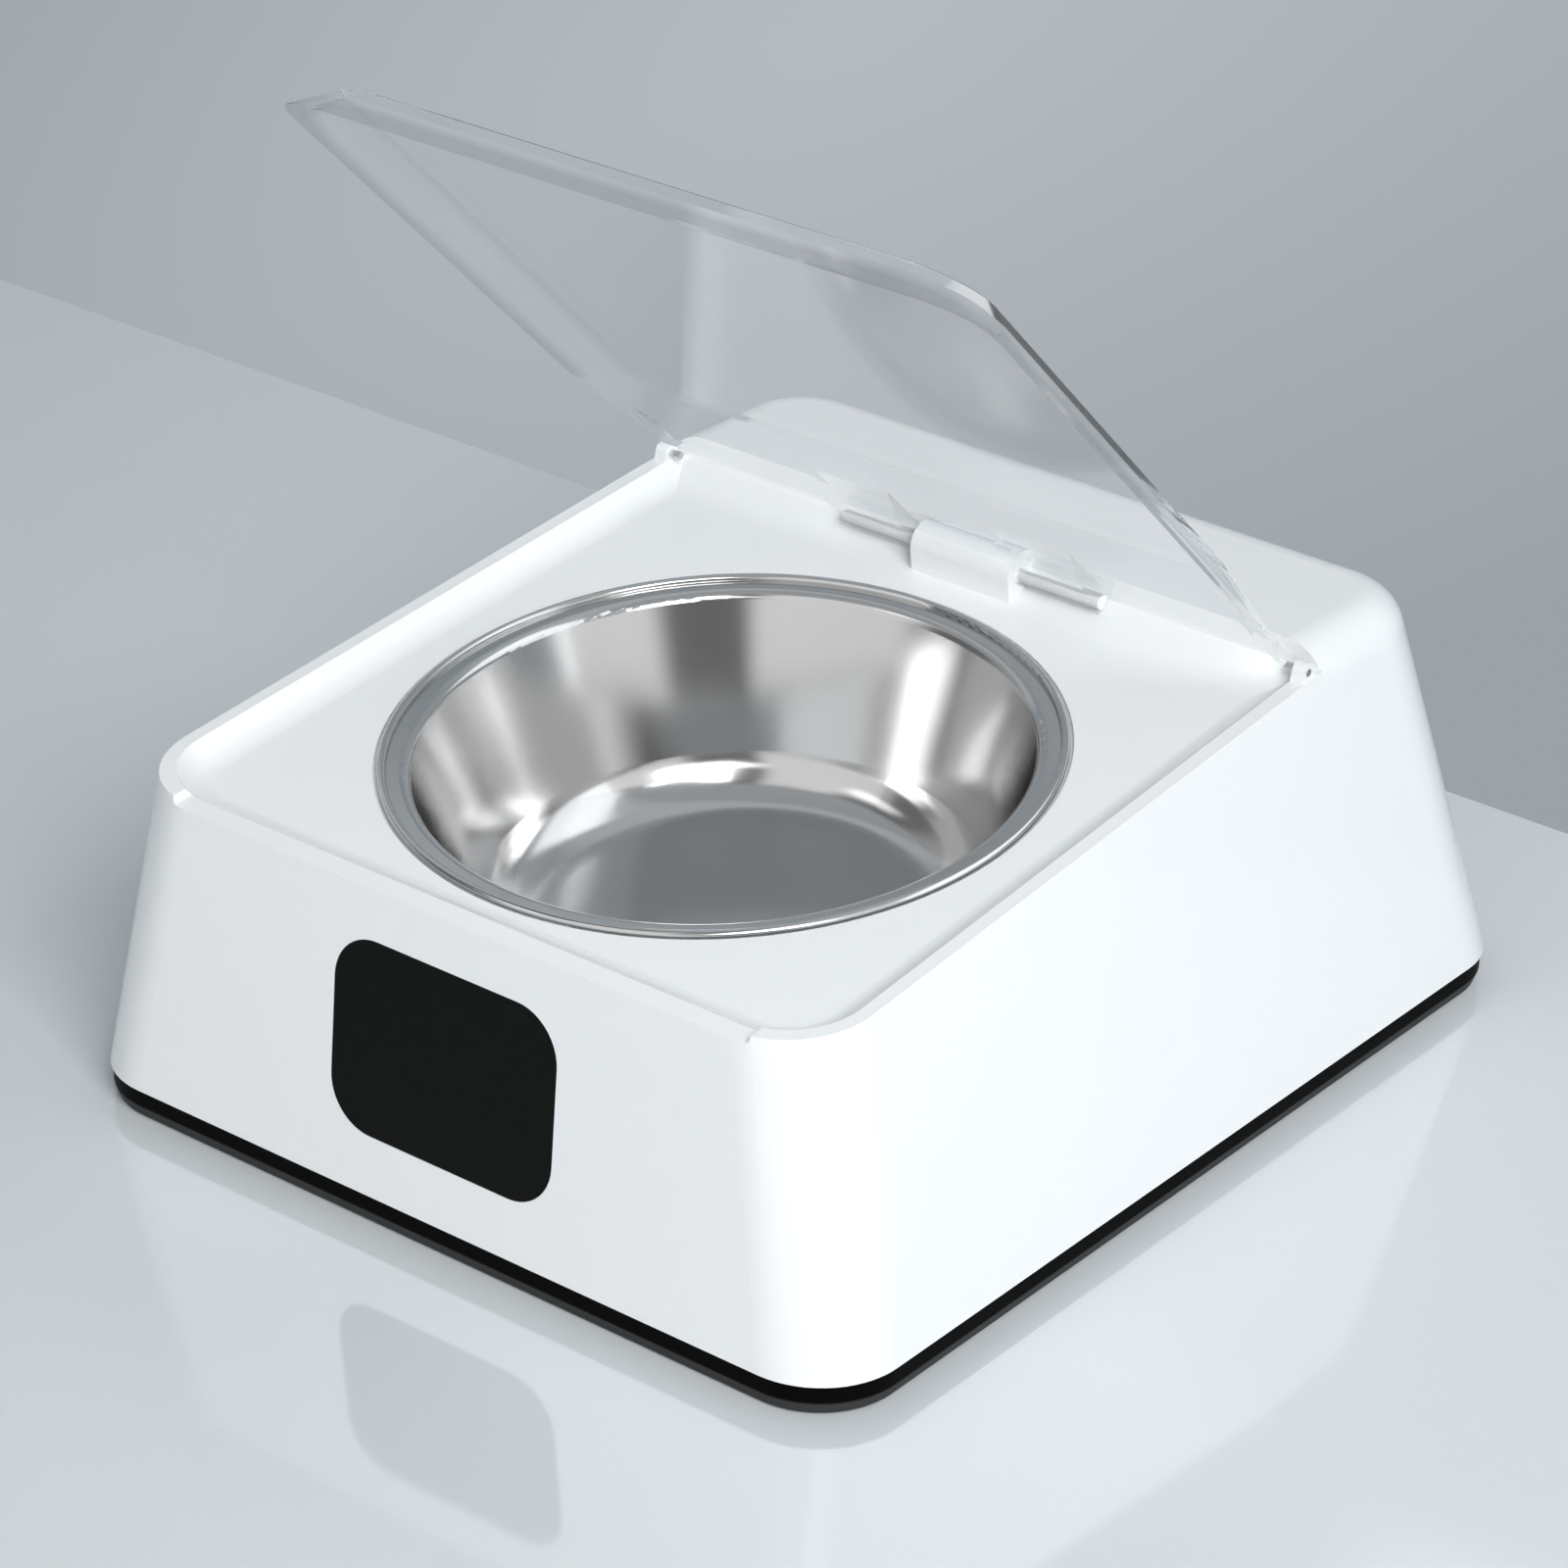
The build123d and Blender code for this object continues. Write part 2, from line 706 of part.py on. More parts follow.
def gear_section(plane, teeth, centre, first_tooth):
    """Spur gear outline whose flanks follow the involute of the base circle; first_tooth points one tooth."""
    pitch_r = gear_module * teeth / 2
    base_r = pitch_r * cos(radians(pressure_angle))
    tip_r = pitch_r + addendum * gear_module
    root_r = pitch_r - dedendum * gear_module
    half_tooth = pi / (2 * teeth) - backlash / (4 * pitch_r)
    flank = []
    for r in (root_r, max(base_r, root_r + 0.05), pitch_r, tip_r):
        turn = involute(radians(pressure_angle)) - involute(acos(min(1.0, base_r / r)))
        flank.append((r, half_tooth + turn))
    points = []
    for tooth in range(teeth):
        middle = radians(first_tooth) + 2 * pi * tooth / teeth
        for r, turn in flank:
            points.append((centre[0] + r * cos(middle - turn), centre[1] + r * sin(middle - turn)))
        for r, turn in reversed(flank):
            points.append((centre[0] + r * cos(middle + turn), centre[1] + r * sin(middle + turn)))
    with BuildSketch(plane) as section:
        with BuildLine():
            Polyline(*points, close=True)
        make_face()
    return section.sketch


# Meshing: a tooth of the lid gear points at the idler, which has a gap there, and so on down the train.
idler_first = idler_direction + 180 + 180 / idler_teeth
idler_lead = (motor_direction - idler_first) % (360 / idler_teeth)
motor_first = motor_direction + 180 + idler_lead * idler_teeth / motor_teeth + 180 / motor_teeth

with BuildPart() as lid_gear:
    outline = gear_section(Plane.YZ, lid_teeth, (hinge_y, hinge_z), idler_direction)
    extrude(outline, amount=gear_width / 2, both=True)
    extrude(d_section(Plane.YZ, shaft_r), amount=gear_width, both=True, mode=Mode.SUBTRACT)
lid_gear.part.label = "lid_gear"
export_step(lid_gear.part, "parts/lid_gear.step")

with BuildPart() as idler_gear:
    outline = gear_section(Plane.YZ, idler_teeth, (idler_y, idler_z), idler_first)
    extrude(outline, amount=gear_width / 2, both=True)
    with BuildSketch(Plane.YZ):
        with Locations((idler_y, idler_z)):
            Circle(axle_r + 1.6)
    extrude(amount=plate_inner_x - moving_gap, both=True)
    with BuildSketch(Plane.YZ):
        with Locations((idler_y, idler_z)):
            Circle(axle_r + fit_gap)
    extrude(amount=plate_inner_x, both=True, mode=Mode.SUBTRACT)
idler_gear.part.label = "idler_gear"
export_step(idler_gear.part, "parts/idler_gear.step")

with BuildPart() as idler_axle:
    with BuildSketch(Plane.YZ):
        with Locations((idler_y, idler_z)):
            Circle(axle_r)
    extrude(amount=plate_inner_x + plate_thickness, both=True)
idler_axle.part.label = "idler_axle"
export_step(idler_axle.part, "parts/idler_axle.step")

motor_face_x = plate_inner_x + plate_thickness
with BuildPart() as motor_gear:
    outline = gear_section(Plane.YZ, motor_teeth, (motor_y, motor_z), motor_first)
    extrude(outline, amount=gear_width / 2, both=True)
    with BuildSketch(Plane.YZ):
        with Locations((motor_y, motor_z)):
            Circle(shaft_r + 2.0)
    extrude(amount=plate_inner_x - moving_gap, both=True)
    with BuildSketch(Plane.YZ):
        with Locations((motor_y, motor_z)):
            Circle(shaft_r)
    extrude(amount=plate_inner_x, both=True, mode=Mode.SUBTRACT)
motor_gear.part.label = "motor_gear"
export_step(motor_gear.part, "parts/motor_gear.step")

with BuildPart() as motor_shaft:
    with BuildSketch(Plane.YZ.offset(-motor_face_x)):
        with Locations((motor_y, motor_z)):
            Circle(shaft_r)
    extrude(amount=2 * motor_face_x + motor_shaft_depth)
motor_shaft.part.label = "motor_shaft"
export_step(motor_shaft.part, "parts/motor_shaft.step")

with BuildPart() as gearmotor:
    with BuildSketch(Plane.YZ.offset(motor_face_x)):
        with Locations((motor_y, motor_z)):
            Circle(motor_r)
    extrude(amount=gearhead_length)
    with BuildSketch(Plane.YZ.offset(motor_face_x + gearhead_length)):
        with Locations((motor_y, motor_z)):
            Circle(motor_r - 1.0)
    extrude(amount=motor_length - gearhead_length)
    fillet(gearmotor.edges().group_by(Axis.X)[-1], 1.5)
    with BuildSketch(Plane.YZ.offset(motor_face_x + motor_length)):
        with Locations((motor_y, motor_z)):
            Circle(3.0)
            with Locations((0, 6.0), (0, -6.0)):
                Rectangle(2.4, 0.6)
    extrude(amount=2.0)
    with BuildSketch(Plane.YZ.offset(motor_face_x)):
        with Locations((motor_y, motor_z)):
            Circle(shaft_r + fit_gap)
    extrude(amount=motor_shaft_depth + moving_gap, mode=Mode.SUBTRACT)
gearmotor.part.label = "gearmotor"
export_step(gearmotor.part, "parts/gearmotor.step")

# Drive bracket: two side plates on a web that screws up to posts under the block's top.
with BuildPart() as drive_bracket:
    for side in (-1, 1):
        with BuildSketch(Plane.YZ.offset(side * (plate_inner_x + plate_thickness / 2))) as plate:
            with Locations((idler_y, idler_z)):
                Circle(axle_r + 2.5)
            with Locations((motor_y, motor_z)):
                Circle(motor_r - 2.0)
            with Locations(((web_y_front + web_y_back) / 2, web_z + plate_thickness / 2)):
                Rectangle(web_y_back - web_y_front, plate_thickness)
            make_hull()
        extrude(amount=plate_thickness / 2, both=True)
    with BuildSketch(Plane.XY.offset(web_z)):
        with Locations((motor_length / 2, (web_y_front + web_y_back) / 2)):
            RectangleRounded(motor_length + 2 * bracket_half, web_y_back - web_y_front, 3.0)
        with Locations((-bracket_post_x, bracket_post_y), (bracket_post_x + motor_length, bracket_post_y)):
            Circle(screw_r, mode=Mode.SUBTRACT)
    extrude(amount=plate_thickness)
    with BuildSketch(Plane.YZ):
        with Locations((idler_y, idler_z)):
            Circle(axle_r)
        with Locations((motor_y, motor_z)):
            Circle(shaft_r + fit_gap)
    extrude(amount=motor_face_x, both=True, mode=Mode.SUBTRACT)
drive_bracket.part.label = "drive_bracket"
export_step(drive_bracket.part, "parts/drive_bracket.step")


def screws(centres, head_z, up, head_r, shank_r, length):
    """Pan-head screws standing along Z: the head's underside is at head_z and the shank points up or down."""
    turn = 1 if up else -1
    with BuildPart() as group:
        with BuildSketch(Plane.XY.offset(head_z)):
            with Locations(*centres):
                Circle(head_r)
        extrude(amount=-turn * screw_head_height)
        with BuildSketch(Plane.XY.offset(head_z)):
            with Locations(*centres):
                Circle(shank_r)
        extrude(amount=turn * length)
    return group.part


shank_r = screw_r - fit_gap
with BuildPart() as bracket_screws:
    add(
        screws(
            [(-bracket_post_x, bracket_post_y), (bracket_post_x + motor_length, bracket_post_y)],
            web_z, True, screw_head_r, shank_r, 10.0,
        )
    )
bracket_screws.part.label = "bracket_screws"
export_step(bracket_screws.part, "parts/bracket_screws.step")

# Antenna: a spool under the tray round the bowl's well, wound with a flat coil.
former_top = -wall
with BuildPart() as antenna_former:
    with BuildSketch(bowl_section):
        with BuildLine():
            Polyline(
                (former_r, former_top),
                (former_r + former_wall + former_flange, former_top),
                (former_r + former_wall + former_flange, former_top - former_wall),
                (former_r + former_wall, former_top - former_wall),
                (former_r + former_wall, former_top - former_wall - coil_height),
                (former_r + former_wall + former_flange, former_top - former_wall - coil_height),
                (former_r + former_wall + former_flange, former_top - 2 * former_wall - coil_height),
                (former_r, former_top - 2 * former_wall - coil_height),
                close=True,
            )
        make_face()
    revolve(axis=bowl_axis)
antenna_former.part.label = "antenna_former"
export_step(antenna_former.part, "parts/antenna_former.step")

with BuildPart() as antenna_coil:
    with BuildSketch(bowl_section):
        with Locations((former_r + former_wall + coil_width / 2, former_top - former_wall - coil_height / 2)):
            Rectangle(coil_width, coil_height)
    revolve(axis=bowl_axis)
antenna_coil.part.label = "antenna_coil"
export_step(antenna_coil.part, "parts/antenna_coil.step")

# Sensor window, its board and the infrared emitter and detectors behind it.
with BuildPart() as sensor_window:
    with BuildSketch(window_plane):
        RectangleRounded(window_width, window_height, window_corner_r)
    extrude(amount=fit_gap - window_thickness)
sensor_window.part.label = "sensor_window"
export_step(sensor_window.part, "parts/sensor_window.step")

sensor_board_depth = wall + sensor_post
with BuildPart() as sensor_board:
    with BuildSketch(window_plane.offset(-sensor_board_depth - board_thickness)):
        RectangleRounded(sensor_board_width, sensor_board_height, 2.0)
        with Locations((-sensor_post_x, 0), (sensor_post_x, 0)):
            Circle(screw_r - 0.4, mode=Mode.SUBTRACT)
    extrude(amount=board_thickness)
sensor_board.part.label = "sensor_board"
export_step(sensor_board.part, "parts/sensor_board.step")

with BuildPart() as infrared_sensors:
    with BuildSketch(window_plane.offset(-sensor_board_depth)):
        with Locations((-sensor_x, 0), (0, 0), (sensor_x, 0)):
            Circle(sensor_r)
    extrude(amount=sensor_board_depth - window_thickness - sensor_gap)
    fillet(infrared_sensors.edges().group_by(Axis(window_plane.origin, window_plane.z_dir))[-1], 1.5)
infrared_sensors.part.label = "infrared_sensors"
export_step(infrared_sensors.part, "parts/infrared_sensors.step")

# Rear buttons with their board and switches.
for index, name in enumerate(("learn_button", "open_button")):
    with BuildPart() as button:
        place = ((2 * index - 1) * button_x, 0)
        with BuildSketch(rear_plane.offset(-button_flange_depth)):
            with Locations(place):
                Circle(button_r)
        extrude(amount=button_flange_depth + button_proud)
        fillet(button.edges().group_by(Axis(rear_plane.origin, rear_plane.z_dir))[-1], 0.6)
        with BuildSketch(rear_plane.offset(-button_flange_depth)):
            with Locations(place):
                Circle(button_flange_r)
        extrude(amount=-button_flange)
        with BuildSketch(rear_plane.offset(-button_flange_depth - button_flange)):
            with Locations(place):
                Circle(button_stem_r)
        extrude(amount=-button_stem)
    button.part.label = name
    export_step(button.part, "parts/" + name + ".step")

with BuildPart() as tact_switches:
    with BuildSketch(rear_plane.offset(-button_board_depth)):
        with Locations((-button_x, 0), (button_x, 0)):
            Rectangle(switch_size, switch_size)
    extrude(amount=switch_height)
    with BuildSketch(rear_plane.offset(-button_board_depth + switch_height)):
        with Locations((-button_x, 0), (button_x, 0)):
            Circle(plunger_r)
    extrude(amount=plunger_height)
tact_switches.part.label = "tact_switches"
export_step(tact_switches.part, "parts/tact_switches.step")

with BuildPart() as button_board:
    with BuildSketch(rear_plane.offset(-button_board_depth - board_thickness)):
        RectangleRounded(button_board_width, button_board_height, 1.5)
        with Locations((-button_post_x, 0), (button_post_x, 0)):
            Circle(screw_r - 0.4, mode=Mode.SUBTRACT)
    extrude(amount=board_thickness)
button_board.part.label = "button_board"
export_step(button_board.part, "parts/button_board.step")

# Base plate: skin, standing rim, tongue inside the housing, battery bay and posts.
base_top = base_gap + base_skin
bay_half_x = cell_length + cell_end_room
bay_half_y = 2 * cell_r + cell_row_gap / 2 + cell_clearance
cell_z = base_top + cell_clearance + cell_r
bay_top = cell_z + cell_r + cell_clearance
with BuildPart() as base_plate:
    extrude(body_section(seam_z, base_inset), amount=-(seam_z - base_gap))
    underside = base_plate.faces().sort_by(Axis.Z)[0]
    chamfer(underside.edges(), length=base_bevel_in, length2=base_bevel, reference=underside)
    extrude(body_section(seam_z, base_inset + base_rim), amount=-(seam_z - base_top), mode=Mode.SUBTRACT)
    extrude(body_section(base_top, tongue_inset), amount=tongue_height)
    extrude(body_section(base_top, tongue_inset + tongue_wall), amount=tongue_height, mode=Mode.SUBTRACT)
    with BuildSketch(Plane.XY.offset(base_top)):
        with Locations((0, cell_y)):
            Rectangle(2 * (bay_half_x + bay_wall), 2 * (bay_half_y + bay_wall))
    extrude(amount=bay_top + bay_wall - base_top)
    # Stiffening ribs, and posts for the housing screws and the main board.
    with BuildSketch(Plane.XY.offset(base_top)):
        with Locations((-60, -62), (60, -62)):
            Rectangle(rib_wall, 96)
        with Locations((0, -62), (0, -24)):
            Rectangle(150, rib_wall)
    extrude(amount=rib_height)
    with BuildSketch(Plane.XY.offset(base_top)):
        for y in (post_y_front, post_y_back):
            with Locations((-post_x, y), (post_x, y)):
                Circle(post_r)
    extrude(amount=seam_z + post_gap - base_top)
    main_post_x = main_board_width / 2 - 4.0
    main_post_y = main_board_depth / 2 - 4.0
    with BuildSketch(Plane.XY.offset(base_top)):
        with Locations((0, main_board_y)):
            with GridLocations(2 * main_post_x, 2 * main_post_y, 2, 2):
                Circle(sensor_post_r + 0.6)
                Circle(screw_r - 0.5, mode=Mode.SUBTRACT)
    extrude(amount=main_board_z - base_top)
    # Battery bay hollow, door recess, screw holes and foot pockets, all from below.
    with BuildSketch(Plane.XY.offset(base_gap)):
        with Locations((0, cell_y)):
            Rectangle(2 * bay_half_x, 2 * bay_half_y)
    extrude(amount=bay_top - base_gap, mode=Mode.SUBTRACT)
    with BuildSketch(Plane.XY.offset(base_gap)):
        with Locations((0, cell_y)):
            RectangleRounded(
                2 * (bay_half_x + door_ledge + door_edge_gap),
                2 * (bay_half_y + door_ledge + door_edge_gap),
                3.0,
            )
    extrude(amount=base_skin / 2, mode=Mode.SUBTRACT)
    with Locations(Plane.XY.offset(base_gap)):
        with Locations(
            (-post_x, post_y_front), (post_x, post_y_front), (-post_x, post_y_back), (post_x, post_y_back)
        ):
            Cylinder(screw_r, 20.0, mode=Mode.SUBTRACT)
            Cylinder(
                screw_head_r + moving_gap,
                base_skin,
                align=(Align.CENTER, Align.CENTER, Align.MIN),
                mode=Mode.SUBTRACT,
            )
    with BuildSketch(Plane.XY.offset(base_gap)):
        for y in (foot_y_front, foot_y_back):
            with Locations((-foot_x, y), (foot_x, y)):
                Circle(foot_r)
    extrude(amount=foot_recess, mode=Mode.SUBTRACT)
base_plate.part.label = "base_plate"
export_step(base_plate.part, "parts/base_plate.step")

with BuildPart() as rubber_feet:
    with BuildSketch():
        for y in (foot_y_front, foot_y_back):
            with Locations((-foot_x, y), (foot_x, y)):
                Circle(foot_r)
    extrude(amount=base_gap + foot_recess)
    chamfer(rubber_feet.edges().group_by(Axis.Z)[0], 0.4)
rubber_feet.part.label = "rubber_feet"
export_step(rubber_feet.part, "parts/rubber_feet.step")

with BuildPart() as battery_door:
    with BuildSketch(Plane.XY.offset(base_gap)):
        with Locations((0, cell_y)):
            RectangleRounded(2 * (bay_half_x + door_ledge), 2 * (bay_half_y + door_ledge), 2.6)
    extrude(amount=base_skin / 2)
    with BuildSketch(Plane.XY.offset(base_gap + base_skin / 2)):
        with Locations((0, cell_y)):
            Rectangle(2 * (bay_half_x - door_edge_gap), 2 * (bay_half_y - door_edge_gap))
    extrude(amount=base_skin / 2)
battery_door.part.label = "battery_door"
export_step(battery_door.part, "parts/battery_door.step")

# Cells: two rows of two, end to end, the rows pointing opposite ways.
with BuildPart() as batteries:
    for row in (-1, 1):
        for column in (-1, 0):
            foot_x_cell = column * cell_length if row > 0 else -column * cell_length
            with BuildSketch(Plane.YZ.offset(foot_x_cell)):
                with Locations((cell_y + row * (cell_r + cell_row_gap / 2), cell_z)):
                    Circle(cell_r)
            extrude(amount=row * (cell_length - nub_length))
            with BuildSketch(Plane.YZ.offset(foot_x_cell)):
                with Locations((cell_y + row * (cell_r + cell_row_gap / 2), cell_z)):
                    Circle(nub_r)
            extrude(amount=row * (cell_length - fit_gap))
batteries.part.label = "batteries"
export_step(batteries.part, "parts/batteries.step")

# Leaf contacts at both ends of each row: a flat back on the bay's end wall and a tongue bent to the cell.
with BuildPart() as battery_contacts:
    for side in (-1, 1):
        for row in (-1, 1):
            with BuildSketch(Plane.XY.offset(cell_z - contact_height / 2)):
                with BuildLine(Plane.XY):
                    back = side * (bay_half_x - contact_thickness / 2)
                    middle = cell_y + row * (cell_r + cell_row_gap / 2)
                    Polyline(
                        (back, middle - contact_half),
                        (back, middle + contact_half),
                        (side * (cell_length + moving_gap + contact_thickness / 2), middle - contact_half / 2),
                    )
                trace(line_width=contact_thickness)
            extrude(amount=contact_height)
battery_contacts.part.label = "battery_contacts"
export_step(battery_contacts.part, "parts/battery_contacts.step")

# Main board with its components and screws.
with BuildPart() as main_board:
    with BuildSketch(Plane.XY.offset(main_board_z)):
        with Locations((0, main_board_y)):
            RectangleRounded(main_board_width, main_board_depth, 2.0)
            with GridLocations(2 * main_post_x, 2 * main_post_y, 2, 2):
                Circle(screw_r - 0.4, mode=Mode.SUBTRACT)
    extrude(amount=board_thickness)
main_board.part.label = "main_board"
export_step(main_board.part, "parts/main_board.step")

board_top = main_board_z + board_thickness
with BuildPart() as board_components:
    with BuildSketch(Plane.XY.offset(board_top)):
        with Locations((0, main_board_y)):
            Rectangle(12, 12)
            with Locations((-22, 8)):
                Rectangle(9, 5)
    extrude(amount=1.4)
    with BuildSketch(Plane.XY.offset(board_top)):
        with Locations((24, main_board_y + 10), (24, main_board_y - 10)):
            Circle(4)
    extrude(amount=9)
    with BuildSketch(Plane.XY.offset(board_top)):
        with Locations((-24, main_board_y - 16), (0, main_board_y + 20)):
            Rectangle(14, 5)
    extrude(amount=6)
board_components.part.label = "board_components"
export_step(board_components.part, "parts/board_components.step")

with BuildPart() as board_screws:
    add(
        screws(
            [
                (x * main_post_x, main_board_y + y * main_post_y)
                for x in (-1, 1)
                for y in (-1, 1)
            ],
            board_top, False, 2.2, screw_r - 0.5 - fit_gap, 6.0,
        )
    )
board_screws.part.label = "board_screws"
export_step(board_screws.part, "parts/board_screws.step")

with BuildPart() as housing_screws:
    add(
        screws(
            [(x * post_x, y) for x in (-1, 1) for y in (post_y_front, post_y_back)],
            base_top, True, screw_head_r, shank_r, screw_length,
        )
    )
housing_screws.part.label = "housing_screws"
export_step(housing_screws.part, "parts/housing_screws.step")
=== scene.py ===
import json

import bpy
import numpy as np
from mathutils import Matrix

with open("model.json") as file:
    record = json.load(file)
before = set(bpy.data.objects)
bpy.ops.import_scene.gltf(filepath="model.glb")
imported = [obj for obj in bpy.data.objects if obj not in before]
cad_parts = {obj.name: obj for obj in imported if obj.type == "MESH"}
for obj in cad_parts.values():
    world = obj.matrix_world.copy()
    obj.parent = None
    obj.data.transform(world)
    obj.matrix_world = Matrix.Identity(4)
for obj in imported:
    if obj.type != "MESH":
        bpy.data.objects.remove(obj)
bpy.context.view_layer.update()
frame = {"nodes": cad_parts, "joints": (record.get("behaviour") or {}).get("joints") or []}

# ---------------------------------------------------------------- the view
# A long lens in front and to the right of the feeder, well above it, so that its front,
# its right side and the inside of the bowl all show.
eye = np.array([0.7162, -0.9095, 0.6718])
yaw, pitch, roll = np.radians([38.58, 27.66, 0.63])
ahead = np.array([-np.sin(yaw) * np.cos(pitch), np.cos(yaw) * np.cos(pitch), -np.sin(pitch)])
level = np.array([np.cos(yaw), np.sin(yaw), 0.0])
above = np.cross(level, ahead)
across = np.cos(roll) * level + np.sin(roll) * above
upward = np.cos(roll) * above - np.sin(roll) * level
lens = bpy.data.cameras.new("view")
lens.lens = 127.8
lens.sensor_width = 36.0
lens.clip_start, lens.clip_end = 0.05, 50.0
camera = bpy.data.objects.new("view", lens)
placed = np.eye(4)
placed[:3, :] = np.column_stack([across, upward, -ahead, eye])
camera.matrix_world = Matrix(placed.tolist())
bpy.context.scene.collection.objects.link(camera)
bpy.context.scene.camera = camera
bpy.context.scene.view_settings.view_transform = "Standard"


# ---------------------------------------------------------------- floor and wall
# A pale polished floor runs back to a grey-blue wall close behind the feeder. Both carry painted light:
# the floor pales towards the wall and the wall is palest in an oval behind the lid. The floor is
# lacquered, so that the feeder shows faintly in it. The wall has only a front.
def node_tree(name):
    """A new material with one Principled shader. Returns the material, its tree and the shader."""
    material = bpy.data.materials.new(name)
    material.use_nodes = True
    tree = material.node_tree
    return material, tree, tree.nodes["Principled BSDF"]


def feed(tree, socket, value):
    """Gives a socket a constant, or joins it to the output that is to feed it."""
    if isinstance(value, bpy.types.NodeSocket):
        tree.links.new(value, socket)
    else:
        socket.default_value = value


def add_node(tree, kind, inputs, **settings):
    """A new shader node with its settings made and its inputs fed, each by its name or number."""
    node = tree.nodes.new("ShaderNode" + kind)
    for setting, value in settings.items():
        setattr(node, setting, value)
    for socket, value in inputs.items():
        feed(tree, node.inputs[socket], value)
    return node


def calculate(tree, operation, *values, clamp=False):
    """The result of one sum on numbers or outputs."""
    return add_node(tree, "Math", dict(enumerate(values)), operation=operation, use_clamp=clamp).outputs[0]


def calculate_each(tree, operation, *values):
    """The result of one sum on each of the three parts of vectors or colours."""
    return add_node(tree, "VectorMath", dict(enumerate(values)), operation=operation).outputs["Vector"]


def remap(tree, value, start, end, low=0.0, high=1.0, smooth=False):
    """A value that goes from low to high while another goes from start to end."""
    inputs = {"Value": value, "From Min": start, "From Max": end, "To Min": low, "To Max": high}
    interpolation = "SMOOTHSTEP" if smooth else "LINEAR"
    return add_node(tree, "MapRange", inputs, interpolation_type=interpolation).outputs["Result"]


def ramp(tree, value, *stops):
    """A run of colours over a 0-1 value. Each stop is its place and a colour or a grey level."""
    node = add_node(tree, "ValToRGB", {"Fac": value})
    elements = node.color_ramp.elements
    while len(elements) < len(stops):
        elements.new(0.5)
    for element, (place, colour) in zip(elements, stops):
        element.position = place
        element.color = (*colour, 1) if isinstance(colour, tuple) else (colour, colour, colour, 1)
    return node.outputs["Color"]


def mix(tree, factor, first, second, blend="MIX"):
    """The first colour turned into the second by a factor, or blended with it in another way."""
    inputs = {"Factor": factor, "A": first, "B": second}
    return add_node(tree, "Mix", inputs, data_type="RGBA", blend_type=blend).outputs["Result"]


def mix_shaders(tree, factor, first, second):
    """The first shader turned into the second by a factor."""
    return add_node(tree, "MixShader", {"Fac": factor, 1: first, 2: second}).outputs["Shader"]


def own_place(tree):
    """Where each point of the piece lies, in metres."""
    return add_node(tree, "TexCoord", {}).outputs["Object"]


def mapped(tree, vector, **inputs):
    """A place seen from a frame with its own Location, Rotation in radians and Scale."""
    return add_node(tree, "Mapping", {"Vector": vector, **inputs}, vector_type="TEXTURE").outputs["Vector"]


def noise(tree, vector, scale, detail):
    """An even cloudy value with a scale in bumps to the metre."""
    inputs = {"Vector": vector, "Scale": scale, "Detail": detail}
    return add_node(tree, "TexNoise", inputs).outputs["Fac"]


def relieve(tree, shader, height, depth):
    """Gives a shader a fine relief as deep as depth, in metres."""
    bump = add_node(tree, "Bump", {"Height": height, "Distance": depth})
    feed(tree, shader.inputs["Normal"], bump.outputs["Normal"])


def surface(name, shape, steps):
    """A smooth mesh from shape(u, v), which gives one point for each pair of a square grid.

    u and v run from 0 to 1 in equal steps, and each cell of the grid is one face."""
    share = np.arange(steps + 1) / steps
    across_share, along_share = np.meshgrid(share, share)
    points = np.stack(shape(across_share.ravel(), along_share.ravel()), axis=1)
    column, row = (grid.ravel() for grid in np.meshgrid(np.arange(steps), np.arange(steps)))
    corner = row * (steps + 1) + column
    faces = np.stack([corner, corner + 1, corner + steps + 2, corner + steps + 1], 1)
    mesh = bpy.data.meshes.new(name)
    mesh.from_pydata(points.tolist(), [], faces.tolist())
    mesh.polygons.foreach_set("use_smooth", np.ones(len(faces), bool))
    piece = bpy.data.objects.new(name, mesh)
    bpy.context.scene.collection.objects.link(piece)
    return piece


def floor_lacquer_and_light_fade():
    """Pale lacquer, a little paler towards the wall: painted light, making up for the lamp's falloff over the
    floor.
    """
    material, tree, shader = node_tree("floor_lacquer_and_light_fade")
    turn, middle, stretch = np.radians(-75), 0.5, 2
    slant = {"Location": (middle, 0, 0), "Rotation": (0, 0, turn), "Scale": (stretch, stretch, stretch)}
    turned = add_node(tree, "Mapping", {"Vector": own_place(tree), **slant}).outputs["Vector"]
    painted_light_fade = add_node(tree, "TexGradient", {"Vector": turned})
    # Painted light: the colour pales along the floor towards the wall, standing in for how the lamp lights
    # it.
    tint = ramp(tree, painted_light_fade.outputs["Fac"], (0, (0.65, 0.685, 0.70)), (1, (0.755, 0.785, 0.81)))
    feed(tree, shader.inputs["Base Color"], tint)
    shader.inputs["Roughness"].default_value = 0.07
    shader.inputs["IOR"].default_value = 2.05
    return material


